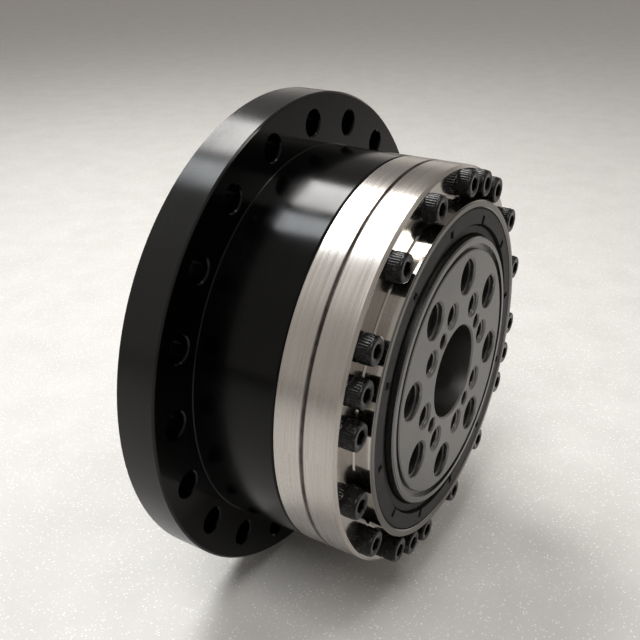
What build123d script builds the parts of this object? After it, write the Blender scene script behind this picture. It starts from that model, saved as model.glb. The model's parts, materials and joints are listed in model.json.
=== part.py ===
from build123d import *
import os
from math import cos, pi, radians, sin

# Strain-wave gear unit. It is drawn with its axis on Z, output up, Z = 0 on the flange's back
# face, and every node is turned at the end so that the output faces -Y. Millimetres, degrees.

# housing and its flange
FLANGE_R = 53.5
FLANGE_T = 9.0
FLANGE_EDGE = 0.4
FLANGE_HOLES = 20
FLANGE_HOLE_R = 2.65
FLANGE_HOLE_PCR = 47.5
HOLE_EDGE = 0.3
BODY_R = 42.5
BODY_FRONT = 27.0
BODY_FILLET = 0.2
BODY_EDGE = 0.3
CAVITY_R = 35.5
REAR_WALL_T = 7.0
PILOT_R = 25.0
PILOT_DEPTH = 3.5
INPUT_OPENING_R = 22.0
MOTOR_HOLES = 4
MOTOR_HOLE_R = 2.1
MOTOR_HOLE_PCR = 35.0
MOTOR_CLOCK = 45.0

# screws on the shoulder: sixteen even ones and four more, all M3
CLOCK = 70.5
SCREW_PCR = 39.25
LONG_SCREWS = 16
SHORT_SCREWS = 4
M3_SHANK_R = 1.45
M3_THREAD_R = 1.5
M3_CLEAR_R = 1.7
M3_HEAD_R = 2.75
M3_HEAD_H = 3.0
M3_SOCKET_AF = 2.5
M3_SOCKET_D = 1.6
LONG_SCREW_L = 20.0
SHORT_SCREW_L = 12.0
TAP_SPARE = 1.5
HEAD_EDGE_SHARE = 0.12
SOCKET_LIP_SHARE = 0.1
SHANK_END_EDGE = 0.3

# circular spline
SPLINE_FRONT = 33.2
SPLINE_TEETH = 102
SPLINE_REAR = 13.0
SPLINE_TOOTH_FRONT = 22.5
SPLINE_TIP_R = 30.25
SPLINE_ROOT_R = 31.15
SPACE_HALF_TIP = 0.56
SPACE_HALF_ROOT = 0.36
SPLINE_BORE_R = 31.9
SPIGOT_CLEAR = 0.02
RING_EDGE = 0.35
SPLINE_RING_GROOVE_Z = 24.0
SPLINE_RING_GROOVE_W = 1.6
SPLINE_RING_GROOVE_D = 1.2
O_RING_WIRE_R = 0.58

# crossed-roller bearing
SHOULDER_Z = 40.2
SHOULDER_EDGE = 0.6
HUB_R = 36.0
HUB_FRONT = 43.8
HUB_EDGE = 0.25
HUB_CORNER = 0.3
SEAL_BORE_R = 34.5
SEAL_BORE_Z = 39.8
REGISTER_Z = 31.7
ROLLER_PCR = 31.5
ROLLER_Z = 36.4
ROLLER_D = 4.0
ROLLER_L = 3.94
ROLLER_EDGE = 0.2
ROLLERS_EACH_WAY = 20
RACE_SQUARE = 4.08
RACE_GAP = 0.25
SPACER_R = 1.75
SPACER_T = 2.6
SPACER_CLEAR = 0.04
PLUG_R = 2.3
PLUG_ANGLE = CLOCK + 225.0
PLUG_SUNK = 0.6
PLUG_PIN_R = 0.75
PLUG_PIN_PCR = 38.3
PLUG_PIN_FRONT = 39.7
FACE_RING_GROOVE_R = (36.1, 37.2)
FACE_RING_GROOVE_D = 0.8
FACE_RING_WIRE_R = 0.38

# inner ring and output plate
LAND_R = 28.65
LAND_INNER_R = 27.25
LAND_TOP = 44.4
LAND_EDGE = 0.3
PLATE_R = 26.6
PLATE_NECK_R = 26.1
PLATE_FACE = 44.4
PLATE_BACK = 35.0
PLATE_EDGE = 0.2
RING_GROOVE_D = 0.95
WEB_BACK = 32.0
WEB_RELIEF = 0.6
BOSS_R = 17.8
BORE_R = 10.0
BORE_EDGE = 0.35
OUTPUT_HOLES = 8
PLATE_CLOCK = 35.5
M8_TAP_R = 3.4
M8_EDGE = 0.5
M8_PCR = 20.7
M5_TAP_R = 2.1
M5_EDGE = 0.8
M5_PCR = 14.6
DOWELS = 4
DOWEL_R = 1.5
DOWEL_EDGE = 0.3
DOWEL_PCR = 12.8
OWN_DOWEL_R = 1.75
OWN_DOWEL_PCR = 14.2
OWN_DOWEL_Z = (29.4, 39.4)
OWN_DOWEL_HOLE_Z = 39.7
OWN_DOWEL_CLOCK = PLATE_CLOCK + 45.0

# output seal
SEAL_FACE = 43.55
SEAL_STEP_R = 31.1
SEAL_STEP_D = 0.65
SEAL_GROOVE = 0.45
SEAL_LIP_R = 28.75
SEAL_LIP_T = 1.1
SEAL_LIP_EDGE = 0.5
SEAL_LIP_HOLLOW = 0.25
SEAL_WEB_T = 0.8
SEAL_RIM_T = 1.2
SEAL_SLOTS = 12
SEAL_SLOT_R = (30.6, 32.9)
SEAL_SLOT_W = 1.4
SEAL_SLOT_D = 1.1
SEAL_CLOCK = 9.0
SEAL_SPRING_R = 30.22
SEAL_SPRING_Z = 41.1
SEAL_SPRING_WIRE_R = 0.3

# flexspline; the wave generator presses its open end to an oval
FLEX_TEETH = 100
WAVE = 0.6
FLEX_REAR = 12.5
FLEX_TOOTH_FRONT = 21.5
FLEX_OVAL_FRONT = 22.2
FLEX_TIP_R = 30.4
FLEX_ROOT_R = 29.55
FLEX_INNER_R = 28.9
TOOTH_HALF_TIP = 0.26
TOOTH_HALF_ROOT = 0.52
FLEX_NEUTRAL_R = 30.0
CUP_R = 29.0
CUP_INNER_R = 28.4
CUP_END = 30.6
DIAPHRAGM_Z = (31.0, 31.6)
BOSS_BACK = 29.0
CLAMP_RING_R = (10.3, 18.8)
CLAMP_RING_T = 1.2
FLEX_BORE_R = 10.3
M5_SHANK_R = 2.05
M5_CLEAR_R = 2.65
M5_HEAD_R = 4.25
M5_HEAD_H = 5.0
M5_SOCKET_AF = 4.0
M5_SOCKET_D = 2.5
M5_SCREW_L = 12.0

# wave generator
WAVE_BEARING_Z = (13.5, 20.5)
OUTER_RACE_R = (27.0, 28.85)
INNER_RACE_R = (22.4, 24.2)
BALLS = 23
BALL_R = 2.25
BALL_PCR = 25.6
BALL_CLEAR = 0.04
CAGE_R = (25.0, 26.2)
CAGE_Z = (14.2, 19.8)
WAVE_PLUG_R = 22.38
WAVE_PLUG_Z = (12.5, 20.6)
HUB_SEAT_R = 11.1
COUPLING_CLEAR = 0.1
COUPLING_KEY_W = 4.0
PLUG_KEY_R = (14.5, 19.5)
INSERT_R = (11.8, 20.0)
INSERT_Z = (10.2, 12.3)
INPUT_HUB_R = 11.0
INPUT_HUB_Z = (4.0, 22.5)
INPUT_FLANGE_R = 19.5
INPUT_FLANGE_Z = (7.5, 10.0)
INPUT_BORE_R = 7.0
SHAFT_KEY_W = 5.0
SHAFT_KEY_D = 2.3
CLIP_GROOVE_Z = (21.2, 22.0)
CLIP_R = (10.3, 12.4)
CLIP_GAP_W = 5.0
WASHER_R = (11.15, 14.4)
WASHER_Z = (20.65, 21.15)
SET_SCREW_R = 1.95
SET_SCREW_THREAD_R = 2.0
SET_SCREW_AF = 2.0
SET_SCREW_SOCKET_D = 1.6
SET_SCREW_SUNK = 0.2
SET_SCREW_Z = 5.75
SET_SCREW_ANGLES = (150.0, 210.0)

# how far a cutter runs past the faces it opens
PAST = 1.0

UP = (Align.CENTER, Align.CENTER, Align.MIN)


def revolved(points):
    """A solid of revolution from (radius, height) points."""
    return revolve(Plane.XZ * make_face(Polyline(*points, close=True)), Axis.Z)


def tube(outer, inner, low, high):
    return revolved([(inner, low), (outer, low), (outer, high), (inner, high)])


def rod(radius, low, high):
    return Pos(0, 0, low) * Cylinder(radius, high - low, align=UP)


def oval(radius, wave):
    """An ellipse with its long half-axis on X."""
    return Ellipse(radius + wave, radius - wave)


def oval_tube(outer, inner, low, high):
    face = oval(outer, WAVE) - oval(inner, WAVE)
    return Pos(0, 0, low) * extrude(face, high - low)


def around(shape, count, radius, start=0.0):
    """Copies of a shape on a circle, each turned to face outwards."""
    step = 360.0 / count
    return [Rot(0, 0, start + step * i) * Pos(radius, 0, 0) * shape for i in range(count)]


def edged_hole(radius, low, high, edge_low, edge_high):
    """A cutter for a hole with a countersunk edge at either end."""
    points = [(0, low - PAST), (radius + edge_low + PAST, low - PAST), (radius + edge_low, low)]
    points += [(radius, low + edge_low), (radius, high - edge_high)]
    points += [(radius + edge_high, high), (radius + edge_high + PAST, high + PAST), (0, high + PAST)]
    return revolved(points)


def blind_hole(radius, low, high, edge):
    return revolved([(0, low), (radius, low), (radius, high - edge), (radius + edge, high),
                     (radius + edge, high + PAST), (0, high + PAST)])


def socket_screw(head_r, head_h, shank_r, length, socket_af, socket_d, seat_z, upward):
    """A cap screw whose head sits on seat_z; its shank goes down, or up if told so."""
    edge = HEAD_EDGE_SHARE * head_h
    lip = SOCKET_LIP_SHARE * head_h
    body = revolved([
        (0, -length),
        (shank_r - SHANK_END_EDGE, -length),
        (shank_r, SHANK_END_EDGE - length),
        (shank_r, 0),
        (head_r, 0),
        (head_r, head_h - edge),
        (head_r - edge, head_h),
        (0, head_h),
    ])
    across = socket_af / 3 ** 0.5
    socket = Pos(0, 0, head_h - socket_d) * extrude(RegularPolygon(across, 6), socket_d)
    mouth = Pos(0, 0, head_h - lip) * Cone(across - lip, across + lip, 2 * lip, align=UP)
    screw = body - socket - mouth
    if upward:
        screw = Rot(180, 0, 0) * screw
    return Pos(0, 0, seat_z) * screw


def torus(radius, wire, z):
    return Pos(0, 0, z) * Torus(radius, wire)


def toothed_face(count, points_of):
    points = []
    for i in range(count):
        points += points_of(i)
    return make_face(Polyline(*points, close=True))


def spline_space(i):
    """Corners of one gap between the ring's inner teeth."""
    middle = 2 * pi * i / SPLINE_TEETH
    corners = []
    for radius, half in (
        (SPLINE_TIP_R, -SPACE_HALF_TIP),
        (SPLINE_ROOT_R, -SPACE_HALF_ROOT),
        (SPLINE_ROOT_R, SPACE_HALF_ROOT),
        (SPLINE_TIP_R, SPACE_HALF_TIP),
    ):
        angle = middle + half / radius
        corners.append((radius * cos(angle), radius * sin(angle)))
    return corners


def flex_tooth(i):
    """Corners of one flexspline tooth, carried along by the oval its rim is bent to."""
    rest = 2 * pi * i / FLEX_TEETH
    middle = rest - WAVE / (2 * FLEX_NEUTRAL_R) * sin(2 * rest)
    swell = WAVE * cos(2 * rest)
    corners = []
    for radius, half in (
        (FLEX_ROOT_R, -TOOTH_HALF_ROOT),
        (FLEX_TIP_R, -TOOTH_HALF_TIP),
        (FLEX_TIP_R, TOOTH_HALF_TIP),
        (FLEX_ROOT_R, TOOTH_HALF_ROOT),
    ):
        angle = middle + half / radius
        corners.append(((radius + swell) * cos(angle), (radius + swell) * sin(angle)))
    return corners


def race_channel():
    """The square channel, on edge, in which the crossed rollers run."""
    half = RACE_SQUARE / 2 ** 0.5
    return revolved([(ROLLER_PCR - half, ROLLER_Z), (ROLLER_PCR, ROLLER_Z - half),
                     (ROLLER_PCR + half, ROLLER_Z), (ROLLER_PCR, ROLLER_Z + half)])


def roller(tilt, grow=0.0):
    body = Cylinder(ROLLER_D / 2 + grow, ROLLER_L + grow)
    if grow == 0.0:
        body = chamfer(body.edges().filter_by(GeomType.CIRCLE), ROLLER_EDGE)
    return Pos(ROLLER_PCR, 0, ROLLER_Z) * Rot(0, tilt, 0) * body


def adapter_housing():
    body = revolved([
        (PILOT_R + HOLE_EDGE, 0),
        (FLANGE_R - FLANGE_EDGE, 0),
        (FLANGE_R, FLANGE_EDGE),
        (FLANGE_R, FLANGE_T - FLANGE_EDGE),
        (FLANGE_R - FLANGE_EDGE, FLANGE_T),
        (BODY_R + BODY_FILLET, FLANGE_T),
        (BODY_R, FLANGE_T + BODY_FILLET),
        (BODY_R, BODY_FRONT - BODY_EDGE),
        (BODY_R - BODY_EDGE, BODY_FRONT),
        (CAVITY_R + BODY_EDGE, BODY_FRONT),
        (CAVITY_R, BODY_FRONT - BODY_EDGE),
        (CAVITY_R, REAR_WALL_T),
        (INPUT_OPENING_R, REAR_WALL_T),
        (INPUT_OPENING_R, PILOT_DEPTH),
        (PILOT_R, PILOT_DEPTH),
        (PILOT_R, HOLE_EDGE),
    ])
    flange_hole = edged_hole(FLANGE_HOLE_R, 0, FLANGE_T, HOLE_EDGE, HOLE_EDGE)
    motor_hole = edged_hole(MOTOR_HOLE_R, 0, REAR_WALL_T, HOLE_EDGE, HOLE_EDGE)
    tapped_end = SHOULDER_Z - LONG_SCREW_L - TAP_SPARE
    tapped = blind_hole(M3_THREAD_R, tapped_end, BODY_FRONT, HOLE_EDGE)
    body -= around(flange_hole, FLANGE_HOLES, FLANGE_HOLE_PCR, CLOCK)
    body -= around(motor_hole, MOTOR_HOLES, MOTOR_HOLE_PCR, MOTOR_CLOCK)
    body -= around(tapped, LONG_SCREWS, SCREW_PCR, CLOCK + 180.0 / LONG_SCREWS)
    return body


def circular_spline():
    groove_top = SPLINE_RING_GROOVE_Z + SPLINE_RING_GROOVE_W
    spigot_r = CAVITY_R - SPIGOT_CLEAR
    groove_r = spigot_r - SPLINE_RING_GROOVE_D
    body = revolved([
        (SPLINE_TIP_R, SPLINE_REAR),
        (spigot_r - RING_EDGE, SPLINE_REAR),
        (spigot_r, SPLINE_REAR + RING_EDGE),
        (spigot_r, SPLINE_RING_GROOVE_Z),
        (groove_r, SPLINE_RING_GROOVE_Z),
        (groove_r, groove_top),
        (spigot_r, groove_top),
        (spigot_r, BODY_FRONT),
        (BODY_R - RING_EDGE, BODY_FRONT),
        (BODY_R, BODY_FRONT + RING_EDGE),
        (BODY_R, SPLINE_FRONT - RING_EDGE),
        (BODY_R - RING_EDGE, SPLINE_FRONT),
        (CAVITY_R, SPLINE_FRONT),
        (CAVITY_R, REGISTER_Z),
        (SPLINE_BORE_R, REGISTER_Z),
        (SPLINE_BORE_R, SPLINE_TOOTH_FRONT),
        (SPLINE_TIP_R, SPLINE_TOOTH_FRONT),
    ])
    spaces = toothed_face(SPLINE_TEETH, spline_space)
    length = SPLINE_TOOTH_FRONT - SPLINE_REAR
    body -= Pos(0, 0, SPLINE_REAR) * extrude(spaces, length)
    clear = rod(M3_CLEAR_R, BODY_FRONT - PAST, SPLINE_FRONT + PAST)
    tapped = rod(M3_THREAD_R, BODY_FRONT - PAST, SPLINE_FRONT + PAST)
    body -= around(clear, LONG_SCREWS, SCREW_PCR, CLOCK + 180.0 / LONG_SCREWS)
    body -= around(tapped, SHORT_SCREWS, SCREW_PCR, CLOCK)
    return body


def fill_plug_cutter(radius, start, end):
    return Rot(0, 0, PLUG_ANGLE) * Pos(start, 0, ROLLER_Z) * Rot(0, 90, 0) * Cylinder(
        radius, end - start, align=UP)


def plug_pin():
    return Rot(0, 0, PLUG_ANGLE) * Pos(PLUG_PIN_PCR, 0, 0) * rod(
        PLUG_PIN_R, SPLINE_FRONT + HOLE_EDGE, PLUG_PIN_FRONT)


def bearing_outer_ring():
    bore_r = ROLLER_PCR + RACE_GAP
    register_r = CAVITY_R - SPIGOT_CLEAR
    body = revolved([
        (bore_r, REGISTER_Z),
        (register_r, REGISTER_Z),
        (register_r, SPLINE_FRONT),
        (BODY_R - RING_EDGE, SPLINE_FRONT),
        (BODY_R, SPLINE_FRONT + RING_EDGE),
        (BODY_R, SHOULDER_Z - SHOULDER_EDGE),
        (BODY_R - SHOULDER_EDGE, SHOULDER_Z),
        (HUB_R + HUB_CORNER, SHOULDER_Z),
        (HUB_R, SHOULDER_Z + HUB_CORNER),
        (HUB_R, HUB_FRONT - HUB_EDGE),
        (HUB_R - HUB_EDGE, HUB_FRONT),
        (SEAL_BORE_R + HUB_EDGE, HUB_FRONT),
        (SEAL_BORE_R, HUB_FRONT - HUB_EDGE),
        (SEAL_BORE_R, SEAL_BORE_Z),
        (bore_r, SEAL_BORE_Z),
    ])
    body -= race_channel()
    groove_top = SPLINE_FRONT + FACE_RING_GROOVE_D
    body -= tube(*reversed(FACE_RING_GROOVE_R), SPLINE_FRONT - PAST, groove_top)
    hole = rod(M3_CLEAR_R, SPLINE_FRONT - PAST, SHOULDER_Z + PAST)
    body -= around(hole, LONG_SCREWS, SCREW_PCR, CLOCK + 180.0 / LONG_SCREWS)
    body -= around(hole, SHORT_SCREWS, SCREW_PCR, CLOCK)
    body -= fill_plug_cutter(PLUG_R, ROLLER_PCR, BODY_R + PAST)
    return body - plug_pin()


def roller_fill_plug():
    body = fill_plug_cutter(PLUG_R, ROLLER_PCR, BODY_R - PLUG_SUNK)
    inside = rod(ROLLER_PCR + RACE_GAP, SPLINE_REAR, SHOULDER_Z)
    return body - inside - race_channel() - plug_pin()


def crossed_rollers(tilt, start):
    step = 360.0 / ROLLERS_EACH_WAY
    one = roller(tilt)
    return [Rot(0, 0, start + step * i) * one for i in range(ROLLERS_EACH_WAY)]


def roller_spacers():
    """Saddle-shaped separators, each cut back from the rollers on either side of it."""
    pitch = 180.0 / ROLLERS_EACH_WAY
    disc = Pos(ROLLER_PCR, 0, ROLLER_Z) * Rot(90, 0, 0) * Cylinder(SPACER_R, SPACER_T)
    spacers = []
    for tilt, start in ((45, 0.5), (-45, 1.5)):
        before = Rot(0, 0, -pitch / 2) * roller(tilt, SPACER_CLEAR)
        after = Rot(0, 0, pitch / 2) * roller(-tilt, SPACER_CLEAR)
        saddle = disc - before - after
        for i in range(ROLLERS_EACH_WAY):
            spacers.append(Rot(0, 0, pitch * (start + 2 * i)) * saddle)
    return spacers


def bearing_inner_ring():
    race_r = ROLLER_PCR - RACE_GAP
    bore_r = PLATE_R + SPIGOT_CLEAR
    groove_z = LAND_TOP - RING_GROOVE_D
    body = revolved([
        (BORE_R, WEB_BACK),
        (BOSS_R, WEB_BACK),
        (BOSS_R, WEB_BACK + WEB_RELIEF),
        (race_r - RING_EDGE, WEB_BACK + WEB_RELIEF),
        (race_r, WEB_BACK + WEB_RELIEF + RING_EDGE),
        (race_r, SEAL_BORE_Z - RING_EDGE),
        (race_r - RING_EDGE, SEAL_BORE_Z),
        (LAND_R, SEAL_BORE_Z),
        (LAND_R, LAND_TOP - LAND_EDGE),
        (LAND_R - LAND_EDGE, LAND_TOP),
        (LAND_INNER_R, LAND_TOP),
        (LAND_INNER_R, groove_z),
        (bore_r, groove_z),
        (bore_r, PLATE_BACK),
        (BORE_R, PLATE_BACK),
    ])
    body -= race_channel()
    clear = rod(M5_CLEAR_R, WEB_BACK - PAST, PLATE_BACK + PAST)
    dowel = rod(OWN_DOWEL_R, WEB_BACK - PAST, PLATE_BACK + PAST)
    body -= around(clear, OUTPUT_HOLES, M5_PCR, PLATE_CLOCK + 180.0 / OUTPUT_HOLES)
    body -= around(dowel, DOWELS, OWN_DOWEL_PCR, OWN_DOWEL_CLOCK)
    return body


def output_plate():
    groove_z = LAND_TOP - RING_GROOVE_D
    body = revolved([
        (BORE_R, PLATE_BACK),
        (PLATE_R - PLATE_EDGE, PLATE_BACK),
        (PLATE_R, PLATE_BACK + PLATE_EDGE),
        (PLATE_R, groove_z),
        (PLATE_NECK_R, groove_z),
        (PLATE_NECK_R, PLATE_FACE - PLATE_EDGE),
        (PLATE_NECK_R - PLATE_EDGE, PLATE_FACE),
        (BORE_R + BORE_EDGE, PLATE_FACE),
        (BORE_R, PLATE_FACE - BORE_EDGE),
    ])
    large = edged_hole(M8_TAP_R, PLATE_BACK, PLATE_FACE, HOLE_EDGE, M8_EDGE)
    medium = edged_hole(M5_TAP_R, PLATE_BACK, PLATE_FACE, HOLE_EDGE, M5_EDGE)
    small = edged_hole(DOWEL_R, PLATE_BACK, PLATE_FACE, HOLE_EDGE, DOWEL_EDGE)
    body -= around(large, OUTPUT_HOLES, M8_PCR, PLATE_CLOCK)
    body -= around(medium, OUTPUT_HOLES, M5_PCR, PLATE_CLOCK + 180.0 / OUTPUT_HOLES)
    body -= around(small, DOWELS, DOWEL_PCR, PLATE_CLOCK)
    own = rod(OWN_DOWEL_R, PLATE_BACK - PAST, OWN_DOWEL_HOLE_Z)
    return body - around(own, DOWELS, OWN_DOWEL_PCR, OWN_DOWEL_CLOCK)


def output_seal():
    """A wall in the bearing ring's bore, a web, and a lip that a garter spring holds."""
    outer_r = SEAL_BORE_R - SPIGOT_CLEAR
    rim_r = outer_r - SEAL_RIM_T
    back_z = SEAL_BORE_Z + HOLE_EDGE
    step_z = SEAL_FACE - SEAL_STEP_D
    web_z = step_z - SEAL_WEB_T
    lip_r = SEAL_LIP_R
    body = revolved([
        (outer_r, back_z),
        (outer_r, SEAL_FACE - HOLE_EDGE),
        (outer_r - HOLE_EDGE, SEAL_FACE),
        (SEAL_STEP_R, SEAL_FACE),
        (SEAL_STEP_R, step_z - SEAL_GROOVE),
        (SEAL_STEP_R - SEAL_GROOVE, step_z),
        (lip_r + SEAL_LIP_EDGE, step_z),
        (lip_r, step_z - SEAL_LIP_EDGE),
        (lip_r + SEAL_LIP_HOLLOW, SEAL_SPRING_Z + SEAL_LIP_EDGE),
        (lip_r, SEAL_SPRING_Z),
        (lip_r + SEAL_LIP_HOLLOW, SEAL_SPRING_Z - SEAL_LIP_EDGE),
        (lip_r + SEAL_LIP_T, SEAL_SPRING_Z - SEAL_LIP_EDGE),
        (lip_r + SEAL_LIP_T, web_z),
        (rim_r, web_z),
        (rim_r, back_z),
    ])
    low_r, high_r = SEAL_SLOT_R
    length = high_r - low_r
    slot = Pos(length / 2, 0, SEAL_FACE) * Box(length, SEAL_SLOT_W, 2 * SEAL_SLOT_D)
    return body - around(slot, SEAL_SLOTS, low_r, SEAL_CLOCK)


def flexspline():
    teeth = toothed_face(FLEX_TEETH, flex_tooth) - oval(FLEX_INNER_R, WAVE)
    rim = Pos(0, 0, FLEX_REAR) * extrude(teeth, FLEX_TOOTH_FRONT - FLEX_REAR)
    neck = oval_tube(FLEX_ROOT_R, FLEX_INNER_R, FLEX_TOOTH_FRONT, FLEX_OVAL_FRONT)
    start = Pos(0, 0, FLEX_OVAL_FRONT)
    outside = loft([start * oval(FLEX_ROOT_R, WAVE), Pos(0, 0, CUP_END) * Circle(CUP_R)])
    inside = loft([start * oval(FLEX_INNER_R, WAVE), Pos(0, 0, CUP_END) * Circle(CUP_INNER_R)])
    low, high = DIAPHRAGM_Z
    corner = high - CUP_END
    end = revolved([
        (CUP_INNER_R, CUP_END),
        (CUP_R, CUP_END),
        (CUP_R, high - corner / 2),
        (CUP_R - corner / 2, high),
        (BOSS_R, high),
        (BOSS_R, WEB_BACK),
        (FLEX_BORE_R, WEB_BACK),
        (FLEX_BORE_R, BOSS_BACK),
        (BOSS_R, BOSS_BACK),
        (BOSS_R, low - corner),
        (BOSS_R + corner, low),
        (CUP_INNER_R - corner / 2, low),
    ])
    clear = rod(M5_CLEAR_R, BOSS_BACK - PAST, WEB_BACK + PAST)
    dowel = rod(OWN_DOWEL_R, BOSS_BACK - PAST, WEB_BACK + PAST)
    end -= around(clear, OUTPUT_HOLES, M5_PCR, PLATE_CLOCK + 180.0 / OUTPUT_HOLES)
    end -= around(dowel, DOWELS, OWN_DOWEL_PCR, OWN_DOWEL_CLOCK)
    return rim + neck + (outside - inside) + end


def clamp_ring():
    low_r, high_r = CLAMP_RING_R
    body = tube(high_r, low_r, BOSS_BACK - CLAMP_RING_T, BOSS_BACK)
    clear = rod(M5_CLEAR_R, BOSS_BACK - CLAMP_RING_T - PAST, BOSS_BACK + PAST)
    return body - around(clear, OUTPUT_HOLES, M5_PCR, PLATE_CLOCK + 180.0 / OUTPUT_HOLES)


def ball_places():
    """One place for each ball, on the oval and turned to face outwards."""
    step = 360.0 / BALLS
    long_axis = BALL_PCR + WAVE
    short_axis = BALL_PCR - WAVE
    middle = sum(WAVE_BEARING_Z) / 2
    places = []
    for i in range(BALLS):
        angle = radians(step * i)
        centre = Pos(long_axis * cos(angle), short_axis * sin(angle), middle)
        places.append(centre * Rot(0, 0, step * i))
    return places


def ball_track():
    middle = sum(WAVE_BEARING_Z) / 2
    path = Pos(0, 0, middle) * Edge.make_ellipse(BALL_PCR + WAVE, BALL_PCR - WAVE)
    start = Plane(path @ 0, z_dir=path % 0)
    return sweep(start * Circle(BALL_R + BALL_CLEAR), path=path)


def wave_cage():
    low_r, high_r = CAGE_R
    body = oval_tube(high_r, low_r, *CAGE_Z)
    pocket = Rot(0, 90, 0) * Cylinder(BALL_R + 2 * BALL_CLEAR, 4 * (high_r - low_r))
    return body - [place * pocket for place in ball_places()]


def key_pair(radii, low, high, grow, turn):
    low_r, high_r = radii
    size = high_r - low_r + 2 * grow
    block = Pos((low_r + high_r) / 2, 0, low) * Box(
        size, COUPLING_KEY_W + 2 * grow, high - low, align=UP)
    return [Rot(0, 0, turn) * block, Rot(0, 0, turn + 180) * block]


def wave_plug():
    low, high = WAVE_PLUG_Z
    body = Pos(0, 0, low) * extrude(oval(WAVE_PLUG_R, WAVE), high - low)
    body -= rod(HUB_SEAT_R, low - PAST, high + PAST)
    body += key_pair(PLUG_KEY_R, INSERT_Z[0] + COUPLING_CLEAR, low, 0, 90)
    return body


def oldham_insert():
    low_r, high_r = INSERT_R
    body = tube(high_r, low_r, *INSERT_Z)
    low, high = INSERT_Z
    body -= key_pair(PLUG_KEY_R, low - PAST, high + PAST, COUPLING_CLEAR, 90)
    return body - key_pair(PLUG_KEY_R, low - PAST, high + PAST, COUPLING_CLEAR, 0)


def set_screw_rod(radius, start, end):
    return Pos(start, 0, SET_SCREW_Z) * Rot(0, 90, 0) * Cylinder(radius, end - start, align=UP)


def oldham_hub():
    low, high = INPUT_HUB_Z
    flange_low, flange_high = INPUT_FLANGE_Z
    body = tube(INPUT_HUB_R, INPUT_BORE_R, low, high)
    body = body + tube(INPUT_FLANGE_R, INPUT_BORE_R, flange_low, flange_high)
    body += key_pair(PLUG_KEY_R, flange_high, INSERT_Z[1] - COUPLING_CLEAR, 0, 0)
    body -= tube(INPUT_HUB_R + PAST, CLIP_R[0], *CLIP_GROOVE_Z)
    keyway = INPUT_BORE_R + SHAFT_KEY_D
    length = high - low + 2 * PAST
    body -= Pos(keyway / 2, 0, low - PAST) * Box(keyway, SHAFT_KEY_W, length, align=UP)
    hole = set_screw_rod(SET_SCREW_THREAD_R, INPUT_BORE_R - PAST, INPUT_HUB_R + PAST)
    return body - [Rot(0, 0, angle) * hole for angle in SET_SCREW_ANGLES]


def hub_set_screws():
    outside = INPUT_HUB_R - SET_SCREW_SUNK
    screw = set_screw_rod(SET_SCREW_R, INPUT_BORE_R + SET_SCREW_SUNK, outside)
    across = SET_SCREW_AF / 3 ** 0.5
    hexagon = Rot(0, 90, 0) * extrude(RegularPolygon(across, 6), SET_SCREW_SOCKET_D + PAST)
    screw -= Pos(outside - SET_SCREW_SOCKET_D, 0, SET_SCREW_Z) * hexagon
    return [Rot(0, 0, angle) * screw for angle in SET_SCREW_ANGLES]


def retaining_ring():
    low_r, high_r = CLIP_R
    body = tube(high_r, low_r + SPIGOT_CLEAR, *CLIP_GROOVE_Z)
    low, high = CLIP_GROOVE_Z
    gap = Pos(-high_r, 0, low - PAST) * Box(high_r, CLIP_GAP_W, high - low + 2 * PAST, align=UP)
    return body - gap


def screw_row(count, radius, start, length):
    screw = socket_screw(M3_HEAD_R, M3_HEAD_H, M3_SHANK_R, length, M3_SOCKET_AF, M3_SOCKET_D,
                         SHOULDER_Z, False)
    return around(screw, count, radius, start)


def flexspline_screws():
    seat = BOSS_BACK - CLAMP_RING_T
    screw = socket_screw(M5_HEAD_R, M5_HEAD_H, M5_SHANK_R, M5_SCREW_L, M5_SOCKET_AF, M5_SOCKET_D,
                         seat, True)
    return around(screw, OUTPUT_HOLES, M5_PCR, PLATE_CLOCK + 180.0 / OUTPUT_HOLES)


def dowel_pins():
    pin = rod(OWN_DOWEL_R - SPIGOT_CLEAR / 2, *OWN_DOWEL_Z)
    pin = chamfer(pin.edges().filter_by(GeomType.CIRCLE), HOLE_EDGE)
    return around(pin, DOWELS, OWN_DOWEL_PCR, OWN_DOWEL_CLOCK)


def save(name, shapes):
    """Turn a node so the output faces -Y and write it."""
    if not isinstance(shapes, list):
        shapes = [shapes]
    solids = []
    for shape in shapes:
        solids += (Rot(90, 0, 0) * shape).solids()
    node = solids[0] if len(solids) == 1 else Compound(children=solids)
    export_step(node, f"parts/{name}.step")


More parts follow.
